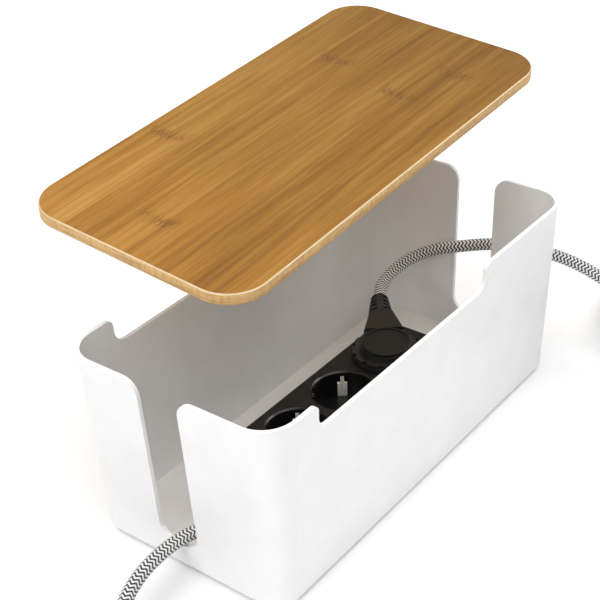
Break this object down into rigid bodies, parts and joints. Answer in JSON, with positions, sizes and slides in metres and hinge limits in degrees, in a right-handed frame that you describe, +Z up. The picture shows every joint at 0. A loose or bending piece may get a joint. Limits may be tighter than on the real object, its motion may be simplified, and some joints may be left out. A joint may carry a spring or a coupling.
{
  "type": "cable tray",
  "caption": "Drafted white box with cable slots in its ends and a loose bamboo lid held open, holding a black socket strip, an angled plug and two braided leads.",
  "frame": {"origin": "middle of the tray's flat underside", "axes": "+X along the tray towards the end where the device lead leaves, +Y to its back, +Z up"},
  "size_m": [0.5905, 0.2911, 0.2023],
  "materials": {
    "white_plastic": "satin",
    "bamboo": "oiled bamboo, satin",
    "black_plastic": "fine matt",
    "black_gloss": "satin gloss",
    "brass": "bright rolled",
    "nickel": "nickel plated",
    "steel": "zinc plated",
    "braid": "black and white zigzag textile braid",
    "copper_red": "brown insulation",
    "blue": "blue insulation",
    "green": "green and yellow insulation",
    "strap": "woven hook-and-loop strap"
  },
  "bodies": {
    "tray": {"tray_shell": "white_plastic", "strip_base_cover": "black_plastic", "strip_top_housing": "black_plastic", "strip_housing_screws": "steel", "socket_cup_1": "black_gloss", "socket_cup_2": "black_gloss", "socket_cup_3": "black_gloss", "live_busbar": "brass", "neutral_busbar": "brass", "earth_bus": "nickel", "cord_clamp": "black_plastic", "cord_clamp_screws": "steel", "lead_inner_end": "braid", "live_wire": "copper_red", "neutral_wire": "blue", "earth_wire": "green", "strip_cord_relief": "black_plastic", "strip_cord": "braid", "strip_cord_coil": "braid", "strip_coil_tie": "strap", "strip_cord_tail": "braid", "wall_plug_body": "black_plastic", "wall_plug_pins": "nickel", "wall_plug_earth_contacts": "nickel", "wall_plug_relief": "black_plastic", "device_cord": "braid", "device_cord_coil": "braid", "device_coil_tie": "strap", "device_cord_tail": "braid", "connector_body": "black_plastic", "connector_contacts": "brass", "connector_relief": "black_plastic"},
    "lid": {"lid_board": "bamboo"},
    "plug": {"plug_body": "black_plastic", "plug_cap": "black_gloss", "plug_pins": "nickel", "plug_earth_contacts": "nickel", "plug_cord_relief": "black_plastic"}
  },
  "joints": [
    {"name": "lid_lift", "type": "hinge", "parent": "tray", "child": "lid", "pos_m": [-0.25944, -0.33812, 0.65844], "axis": [0.7934, -0.6088, 0], "range_deg": [-6.92, 3]},
    {"name": "plug_pull", "type": "slide", "parent": "tray", "child": "plug", "axis": [0, 0, 1], "range_m": [0, 0.028]}
  ]
}
